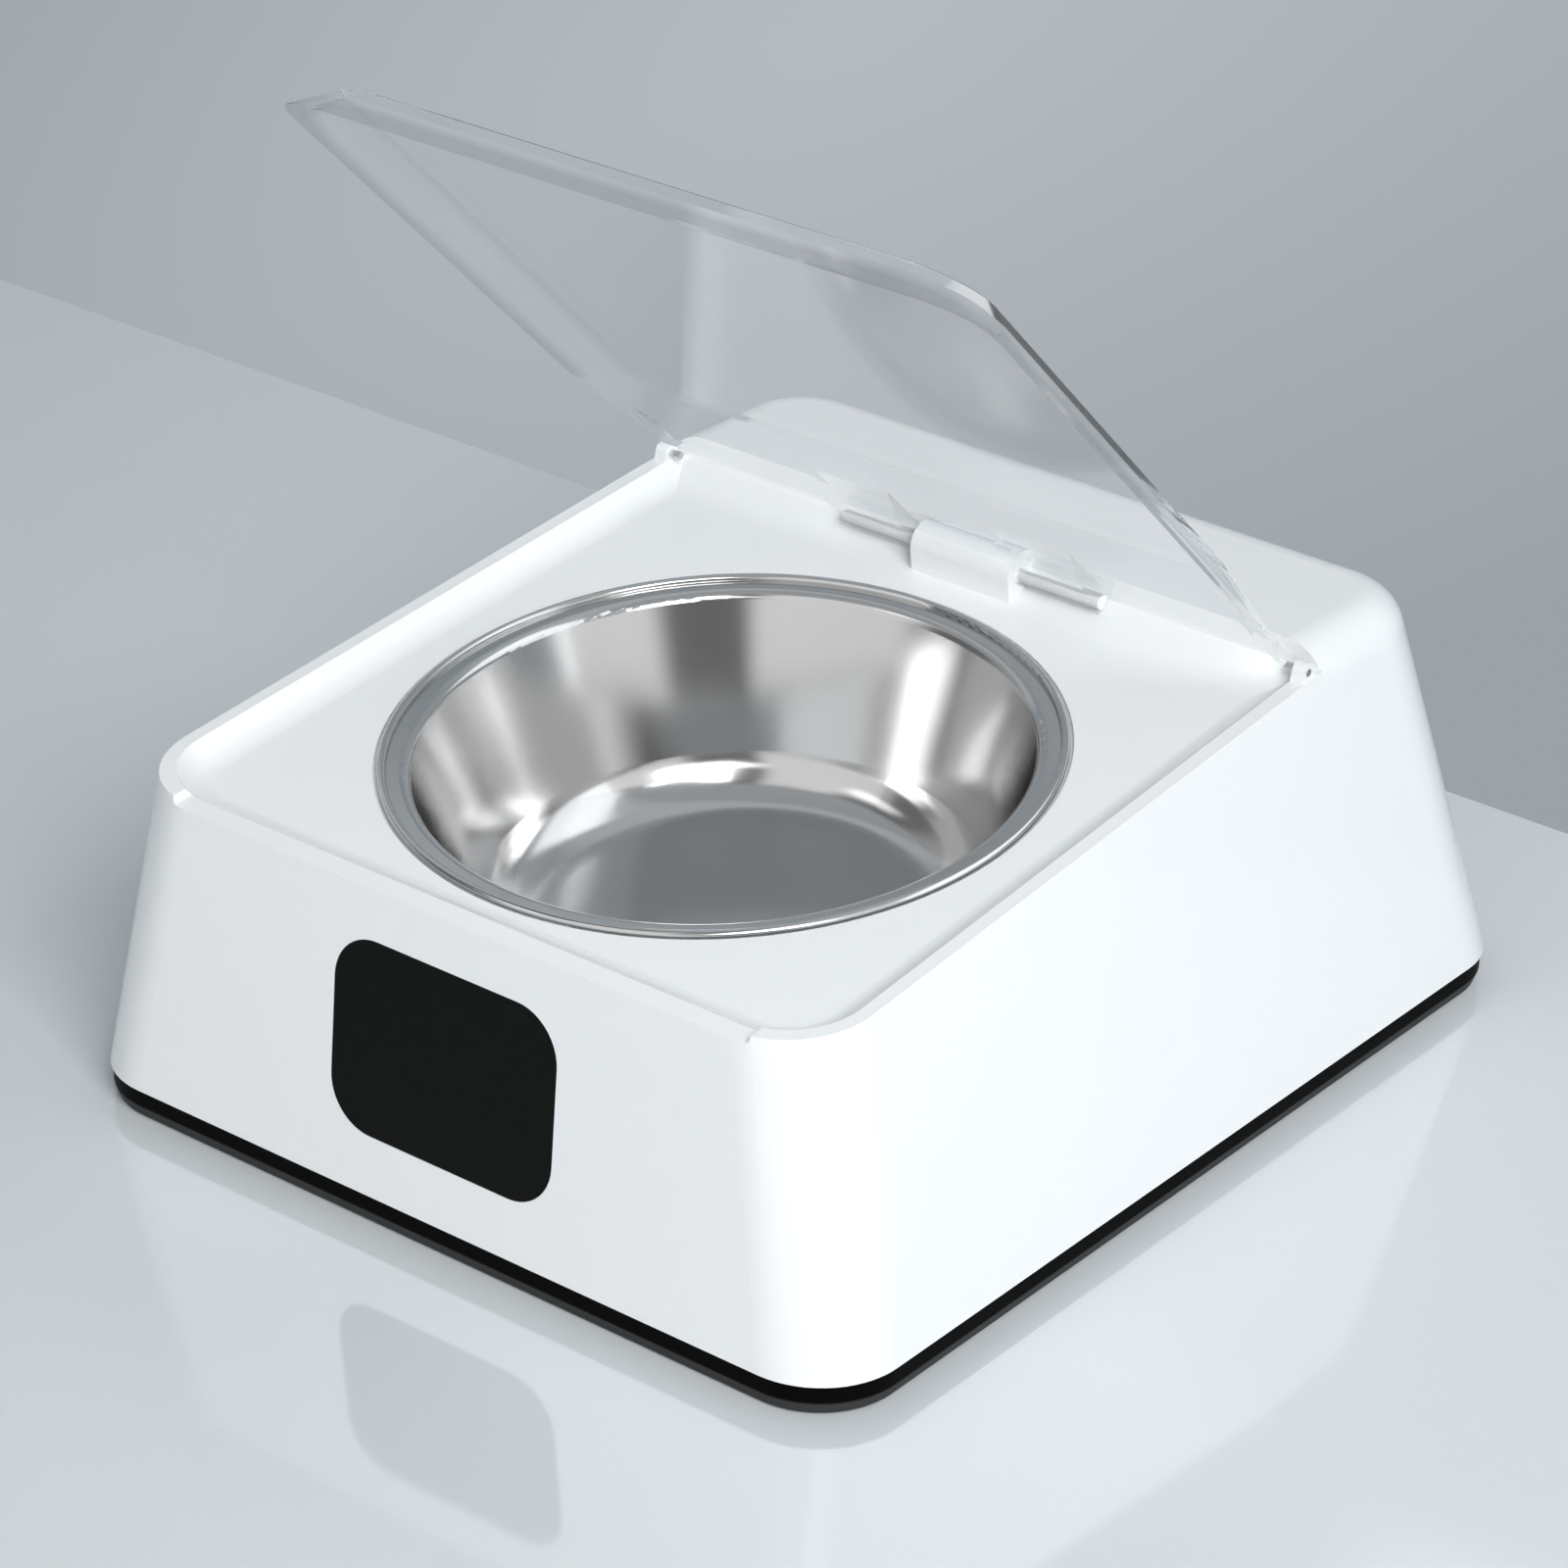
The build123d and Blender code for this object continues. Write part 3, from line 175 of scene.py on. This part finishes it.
def mirrored_patch(tree, place, rays):
    """How much lighter the wall is in the feeder's gloss and in the floor than when seen itself.

    The patch is on the right, above the feeder, and ends along a line that climbs to the right.
    Higher up, the whole wall is a little lighter. None of it lights anything, so it is left out
    for rays that have met a matt surface."""
    left_edge = (0.02, 0.08)
    line_climb = 0.8
    line_edge = (0.65, 0.50)
    lower_edge = (0.215, 0.27)
    upper_wall = (0.33, 0.45)
    patch_level, upper_level = 1.25, 0.28
    spot = add_node(tree, "SeparateXYZ", {"Vector": place})
    sideways, height = spot.outputs["X"], spot.outputs["Z"]
    over_line = calculate(tree, "MULTIPLY_ADD", sideways, -line_climb, height)
    right_of_edge = remap(tree, sideways, *left_edge, smooth=True)
    under_line = remap(tree, over_line, *line_edge, smooth=True)
    inside = calculate(tree, "MULTIPLY", right_of_edge, under_line)
    strong = remap(tree, height, *lower_edge, high=patch_level, smooth=True)
    general = remap(tree, height, *upper_wall, high=upper_level, smooth=True)
    patch = calculate(tree, "MULTIPLY_ADD", inside, strong, general)
    straight_off = calculate(tree, "LESS_THAN", rays["Diffuse Depth"], 0.5)
    shown = calculate(tree, "MULTIPLY", rays["Is Glossy Ray"], straight_off)
    return calculate(tree, "MULTIPLY", patch, shown)


def wall_paint_and_light_pool(wall_y):
    """Matt paint, with a painted pool of light: palest in a leaning oval behind the lid.

    The wall shows at this level whatever lights it, and it is clear from behind."""
    material, tree, shader = node_tree("wall_paint_and_light_pool")
    shader.inputs["Base Color"].default_value = (0.36, 0.39, 0.41, 1)
    shader.inputs["Roughness"].default_value = 0.9
    place = own_place(tree)
    # Painted light: a pool of light, palest in the middle of a leaning oval behind the lid, is put into the
    # colour the wall shows.
    oval_centre, oval_lean, oval_size = (-0.145, wall_y, 0.166), np.radians(-32), (0.6, 1, 0.21)
    oval = mapped(tree, place, Location=oval_centre, Rotation=(0, oval_lean, 0), Scale=oval_size)
    painted_light_fade = add_node(tree, "TexGradient", {"Vector": oval}, gradient_type="SPHERICAL")
    tint = ramp(tree, painted_light_fade.outputs["Fac"], (0, (0.325, 0.365, 0.39)), (1, (0.47, 0.50, 0.53)))
    rays = add_node(tree, "LightPath", {}).outputs
    patch = mirrored_patch(tree, place, rays)
    glow = add_node(tree, "Emission", {"Color": calculate_each(tree, "ADD", tint, patch)}).outputs["Emission"]
    seen = calculate(tree, "MAXIMUM", rays["Is Camera Ray"], rays["Is Glossy Ray"])
    seen_or_through = calculate(tree, "MAXIMUM", seen, rays["Is Transmission Ray"])
    lit = mix_shaders(tree, seen_or_through, shader.outputs["BSDF"], glow)
    behind = add_node(tree, "NewGeometry", {}).outputs["Backfacing"]
    clear = add_node(tree, "BsdfTransparent", {}).outputs["BSDF"]
    one_sided = mix_shaders(tree, behind, lit, clear)
    feed(tree, tree.nodes["Material Output"].inputs["Surface"], one_sided)
    return material


# The floor is a level square round the feeder. The wall is an upright sheet across its back,
# as wide as the floor and half as high.
wall_y = 0.2
room_half = 3.0
room_width = 2 * room_half
steps = 60
floor = surface("floor", lambda u, v: (room_width * u - room_half, room_width * v - room_half, 0 * u), steps)
floor.data.materials.append(floor_lacquer_and_light_fade())
wall = surface("wall", lambda u, v: (room_width * u - room_half, 0 * u + wall_y, room_half * v), steps)
wall.data.materials.append(wall_paint_and_light_pool(wall_y))


# ---------------------------------------------------------------- light
# One big soft lamp high on the right, and a pale even surround. The lamp's own face doesn't
# show in the gloss: the surround has a bright screen there instead.
def soft_lamp(name, at, toward, width, height, watts):
    """A rectangular area lamp at a point, facing another point."""
    data = bpy.data.lights.new(name, "AREA")
    data.shape = "RECTANGLE"
    data.size, data.size_y, data.energy = width, height, watts
    lamp = bpy.data.objects.new(name, data)
    out = np.array(at, float) - np.array(toward, float)
    out = out / np.linalg.norm(out)
    side = np.cross([0, 0, 1], out)
    side = side / np.linalg.norm(side)
    pose = np.eye(4)
    pose[:3, :] = np.column_stack([side, np.cross(out, side), out, at])
    lamp.matrix_world = Matrix(pose.tolist())
    bpy.context.scene.collection.objects.link(lamp)
    return lamp


def turn_share(angle):
    """A bearing from -180 to 180 degrees as a share of the full turn. 0 is straight in front."""
    return angle / 360 + 0.5


def band(tree, value, edges):
    """0 outside the outer two of four edges on a 0-1 value, and 1 between the inner two."""
    return ramp(tree, value, *zip(edges, (0, 1, 1, 0)))


def with_screen(tree, base, bearing, height, bearings, heights, level):
    """base with a bright screen added, between four bearings in degrees and four heights."""
    across_screen = band(tree, bearing, [turn_share(angle) for angle in bearings])
    up_screen = band(tree, height, heights)
    shape = calculate_each(tree, "MULTIPLY", across_screen, up_screen)
    return calculate_each(tree, "MULTIPLY_ADD", shape, (level, level, level), base)


def surround():
    """A world that is even for everything but reflections.

    In reflections it is a room: pale sides with two dark openings in front, a darker ceiling, a
    dark corner on the left and three bright screens. They are laid out by bearing and by height,
    which is the sine of the angle above level. The sides lean, so that their edges run aslant."""
    world = bpy.data.worlds.new("surround")
    world.use_nodes = True
    tree = world.node_tree
    heading = add_node(tree, "TexCoord", {}).outputs["Generated"]
    parts = add_node(tree, "SeparateXYZ", {"Vector": heading}).outputs
    height = parts["Z"]
    full_turn = 2 * np.pi
    side_lean = 0.35
    angle = calculate(tree, "ARCTAN2", parts["X"], calculate(tree, "MULTIPLY", parts["Y"], -1.0))
    bearing = calculate(tree, "MULTIPLY_ADD", angle, 1 / full_turn, 0.5)
    leaning_angle = calculate(tree, "MULTIPLY_ADD", height, side_lean, angle)
    leaning = calculate(tree, "MULTIPLY_ADD", leaning_angle, 1 / full_turn, 0.5)
    side_levels = [(-180, 0.5), (-110, 0.45), (-72, 0.45), (-60, 0.2), (-38, 0.2), (-26, 1.0), (27, 1.05)]
    side_levels += [(34, 0.2), (59, 0.2), (67, 1.05), (100, 1.05), (140, 1.4), (165, 1.2), (180, 0.6)]
    sides = ramp(tree, leaning, *((turn_share(at), level) for at, level in side_levels))
    ceiling = ramp(tree, height, (0.84, 1.0), (0.93, 0.6))
    room = mix(tree, 1.0, sides, ceiling, blend="MULTIPLY")
    corner_bearings, corner_heights = (-125, -105, -42, -28), (0.73, 0.79, 0.86, 0.90)
    corner_across = band(tree, bearing, [turn_share(at) for at in corner_bearings])
    corner = calculate(tree, "MULTIPLY", corner_across, band(tree, height, corner_heights))
    room = mix(tree, corner, room, (0.15, 0.15, 0.15, 1))
    screens = [
        ((30, 39, 64, 73), (0.38, 0.47, 0.86, 0.92), 4.5),
        ((-64, -54, -34, -26), (0.58, 0.63, 0.69, 0.74), 1.2),
        ((17, 31, 36, 42), (0.44, 0.49, 0.54, 0.585), 3.0),
    ]
    for bearings, heights, brightness in screens:
        room = with_screen(tree, room, bearing, height, bearings, heights, brightness)
    rays = add_node(tree, "LightPath", {}).outputs
    mirrored = calculate(tree, "SUBTRACT", rays["Is Glossy Ray"], rays["Is Transmission Ray"], clamp=True)
    air = tree.nodes["Background"]
    feed(tree, air.inputs["Color"], mix(tree, mirrored, (0.465, 0.4825, 0.5, 1), room))
    air.inputs["Strength"].default_value = 1.0
    return world


lamp_at, lamp_toward, lamp_side, lamp_watts = (1.29, -0.90, 1.23), (0, 0, 0.05), 0.95, 30
lamp = soft_lamp("lamp_right", lamp_at, lamp_toward, lamp_side, lamp_side, lamp_watts)
lamp.visible_glossy = False
bpy.context.scene.world = surround()


# ---------------------------------------------------------------- housing
# The white upper housing is one injection moulding in glossy ABS: tapered walls, sloping
# tray, rear block with the hinge ears. Its polish has the faint waviness of a moulded skin.
def vary_polish(tree, shader, value, roughness, spread):
    """Lets a roughness go by a share to either side of its level while a value goes from 0 to 1."""
    polish = remap(tree, value, 0.0, 1.0, roughness * (1 - spread), roughness * (1 + spread))
    feed(tree, shader.inputs["Roughness"], polish)


def moulding(name, colour, roughness, peel=0.00001, peel_size=0.003, mottle=0.02, shine=0.5):
    """Moulded plastic: nearly even colour, a polish that varies a little, and a fine skin relief.

    peel is how deep the skin relief is and peel_size how wide its bumps are, in metres.
    mottle is how far the colour varies, and shine how much the skin mirrors, 0.5 being usual."""
    material, tree, shader = node_tree(name)
    place = own_place(tree)
    cloud = noise(tree, place, scale=18.0, detail=3.0)
    darkest = tuple(part * (1 - mottle) for part in colour)
    feed(tree, shader.inputs["Base Color"], ramp(tree, cloud, (0.3, darkest), (0.7, colour)))
    vary_polish(tree, shader, cloud, roughness, 0.15)
    shader.inputs["Specular IOR Level"].default_value = shine
    relieve(tree, shader, noise(tree, place, scale=1 / peel_size, detail=2.0), peel)
    return material


def coat(node, material):
    """Gives a CAD node its finish."""
    slots = frame["nodes"][node].data.materials
    slots.clear()
    slots.append(material)


white_gloss = moulding("white_gloss", (0.86, 0.875, 0.885), 0.16, peel=0.000012, peel_size=0.006, mottle=0.01)
coat("upper_housing", white_gloss)


# ---------------------------------------------------------------- base
# The base and its battery door are moulded in black with a fine matt spark texture, and turn grey
# along the lower edge. The four feet under it are pressed-in rubber.
def grey_lower_edge(material, lower_edge_colour, grey_below, black_above):
    """Fades a material's colour into another one near the floor, between two heights."""
    tree = material.node_tree
    dye = tree.nodes["Principled BSDF"].inputs["Base Color"]
    height = add_node(tree, "SeparateXYZ", {"Vector": own_place(tree)}).outputs["Z"]
    lower_share = remap(tree, height, black_above, grey_below)
    feed(tree, dye, mix(tree, lower_share, dye.links[0].from_socket, (*lower_edge_colour, 1)))


matt_black = moulding(
    "matt_black", (0.002, 0.002, 0.002), 0.5, peel=0.00003, peel_size=0.0007, mottle=0.2, shine=0.03
)
# The base's colour turns from black to grey between 3.7 mm and 3 mm above the floor.
grey_lower_edge(matt_black, (0.05, 0.05, 0.05), grey_below=0.0030, black_above=0.0037)
coat("base_plate", matt_black)
coat("battery_door", matt_black)
foot_rubber = moulding("foot_rubber", (0.03, 0.03, 0.03), 0.75, peel=0.00004, peel_size=0.0009, mottle=0.2)
coat("rubber_feet", foot_rubber)


# ---------------------------------------------------------------- sensor window
# A flush window in the front face, moulded in black plastic that lets infrared through. It
# sits in a stepped opening, with the sensor board behind it.
window_black = moulding(
    "window_black", (0.005, 0.0056, 0.0052), 0.3, peel=0.000004, peel_size=0.004, mottle=0.05, shine=0.06
)
coat("sensor_window", window_black)


# ---------------------------------------------------------------- bowl
# The bowl is spun and pressed from 0.8 mm stainless sheet, with a flat flange and a rolled
# bead. Fine turning marks run round its axis, which leans forward with the tray.
def spun_steel(name, colour, roughness, centre, lean, mark_depth):
    """Bright steel with fine marks in rings round an axis through centre, leaning by lean degrees.

    The rings are a noise along the distance from the axis, so that each one is even all round."""
    material, tree, shader = node_tree(name)
    place = own_place(tree)
    upright = mapped(tree, place, Location=centre, Rotation=(np.radians(lean), 0, 0))
    flat = calculate_each(tree, "MULTIPLY", upright, (1, 1, 0))
    radius = add_node(tree, "VectorMath", {0: flat}, operation="LENGTH").outputs["Value"]
    rings = add_node(tree, "TexNoise", {"W": radius, "Scale": 1500.0, "Detail": 3.0}, noise_dimensions="1D")
    vary_polish(tree, shader, noise(tree, place, scale=30.0, detail=4.0), roughness, 0.15)
    relieve(tree, shader, rings.outputs["Fac"], mark_depth)
    shader.inputs["Base Color"].default_value = (*colour, 1)
    shader.inputs["Metallic"].default_value = 1.0
    return material


bowl_centre = (0, -0.0342, 0.0881)
bowl_lean = 5.1
mark_depth = 0.0000006
bowl_steel = spun_steel("bowl_steel", (0.57, 0.57, 0.57), 0.15, bowl_centre, bowl_lean, mark_depth)
coat("bowl", bowl_steel)


# ---------------------------------------------------------------- lid
# The lid is one clear moulding, 2.2 mm thick: a flat panel with a leaning skirt round it, two
# lugs on the drive shaft and an arm at each rear corner.
def clear_moulding(name, tint, roughness, ior, veil=0.0, skin=0.0):
    """Clear plastic that bends light, with a trace of haze, and that lets the lamp through.

    veil is the share of the light that its faint milkiness scatters, and skin is how strongly
    its moulded skin reflects."""
    material, tree, shader = node_tree(name)
    place = own_place(tree)
    haze = noise(tree, place, scale=25.0, detail=3.0)
    vary_polish(tree, shader, haze, roughness, 0.5)
    relieve(tree, shader, haze, 0.000003)
    shader.inputs["Base Color"].default_value = (*tint, 1)
    shader.inputs["Transmission Weight"].default_value = 1.0 - veil
    shader.inputs["IOR"].default_value = ior
    shader.inputs["Coat Weight"].default_value = skin
    shader.inputs["Coat Roughness"].default_value = 0.07
    shader.inputs["Coat IOR"].default_value = 1.45
    shadow = add_node(tree, "LightPath", {}).outputs["Is Shadow Ray"]
    through = add_node(tree, "BsdfTransparent", {"Color": (0.93, 0.94, 0.945, 1)}).outputs["BSDF"]
    either = mix_shaders(tree, shadow, shader.outputs["BSDF"], through)
    feed(tree, tree.nodes["Material Output"].inputs["Surface"], either)
    return material


def shade_rim(material, pane, rim, tilt):
    """Paints shade into a clear lid near its rim, for the dark band seen where the eye looks along the sheet
    and not through it.

    The band is 2 mm high on the front skirt, furthest from the hinge, and thins to nothing along
    the sides. It stops short of the arms and lugs. tilt is how far the open lid stands up, in
    degrees. Places are measured from the hinge line: back along the lid and up from it."""
    hinge = next(joint for joint in frame["joints"] if joint["name"] == "lid_hinge")
    front, side_start = -0.186, -0.165
    arms_start, arms_end = -0.045, -0.025
    front_band, side_band, arm_drop = 0.0024, -0.0003, 0.02
    soft_edge = 0.0006
    tree = material.node_tree
    place = own_place(tree)
    lying = mapped(tree, place, Location=hinge["pos_m"], Rotation=(np.radians(-tilt), 0, 0))
    axes = add_node(tree, "SeparateXYZ", {"Vector": lying}).outputs
    band_top = remap(tree, axes["Y"], front, side_start, front_band, side_band)
    below_arms = remap(tree, axes["Y"], arms_start, arms_end, high=arm_drop)
    over_band = calculate(tree, "SUBTRACT", axes["Z"], calculate(tree, "SUBTRACT", band_top, below_arms))
    shade = ramp(tree, remap(tree, over_band, soft_edge, -soft_edge), (0, pane), (1, rim))
    feed(tree, tree.nodes["Principled BSDF"].inputs["Base Color"], shade)


pane_tint = (0.955, 0.96, 0.965)
# Painted shade: the lid's colour darkens to this in a band along its rim, for the dark edge seen along the
# sheet.
painted_rim_shade = (0.76, 0.77, 0.775)
lid_tilt = 45.14
clear_lid = clear_moulding("clear_lid", pane_tint, roughness=0.02, ior=1.02, veil=0.02, skin=0.38)
shade_rim(clear_lid, pane_tint, painted_rim_shade, lid_tilt)
coat("lid", clear_lid)


# ---------------------------------------------------------------- inside
# Everything under the skin: the drive, the reader coil, three circuit boards, the cells and
# the fasteners, each in the plain finish such a part has.
def ground_metal(name, colour, roughness, grain):
    """Plated or ground metal with short grain along X, from a noise stretched that way."""
    material, tree, shader = node_tree(name)
    place = own_place(tree)
    stretched = add_node(tree, "Mapping", {"Vector": place, "Scale": (0.08, 1, 1)}).outputs["Vector"]
    scratches = noise(tree, stretched, scale=1 / grain, detail=3.0)
    vary_polish(tree, shader, scratches, roughness, 0.3)
    relieve(tree, shader, scratches, grain * 0.02)
    shader.inputs["Base Color"].default_value = (*colour, 1)
    shader.inputs["Metallic"].default_value = 1.0
    return material


pin_steel = ground_metal("pin_steel", (0.62, 0.62, 0.61), 0.22, 0.0006)
zinc = ground_metal("zinc_plate", (0.58, 0.59, 0.6), 0.35, 0.0008)
nickel = ground_metal("nickel_spring", (0.72, 0.7, 0.66), 0.28, 0.0008)
can_metal = ground_metal("motor_can", (0.55, 0.56, 0.57), 0.32, 0.001)
copper = ground_metal("enamelled_copper", (0.62, 0.28, 0.12), 0.3, 0.0004)
acetal = moulding("acetal", (0.83, 0.835, 0.83), 0.4, peel=0.00001, peel_size=0.001)
frame_grey = moulding("frame_grey", (0.05, 0.05, 0.055), 0.5, peel=0.00002, peel_size=0.001, mottle=0.1)
solder_mask = moulding("solder_mask", (0.02, 0.12, 0.05), 0.3, peel=0.00001, peel_size=0.0012, mottle=0.25)
chip_black = moulding("chip_black", (0.02, 0.02, 0.022), 0.5, peel=0.00001, peel_size=0.0005, mottle=0.1)
button_grey = moulding("button_grey", (0.12, 0.125, 0.13), 0.45, peel=0.00002, peel_size=0.0008, mottle=0.08)
cell_sleeve = moulding("cell_sleeve", (0.06, 0.07, 0.085), 0.3, peel=0.00001, peel_size=0.002, mottle=0.1)
for node in ("hinge_pins", "idler_axle", "motor_shaft"):
    coat(node, pin_steel)
for node in ("bracket_screws", "board_screws", "housing_screws"):
    coat(node, zinc)
for node in ("drive_shaft", "shaft_bushings", "lid_gear", "idler_gear", "motor_gear"):
    coat(node, acetal)
for node in ("drive_bracket", "antenna_former"):
    coat(node, frame_grey)
for node in ("main_board", "sensor_board", "button_board"):
    coat(node, solder_mask)
for node in ("board_components", "tact_switches"):
    coat(node, chip_black)
for node in ("open_button", "learn_button"):
    coat(node, button_grey)
coat("gearmotor", can_metal)
coat("antenna_coil", copper)
coat("batteries", cell_sleeve)
coat("battery_contacts", nickel)
coat("infrared_sensors", clear_moulding("clear_epoxy", (0.8, 0.84, 0.92), roughness=0.05, ior=1.53))
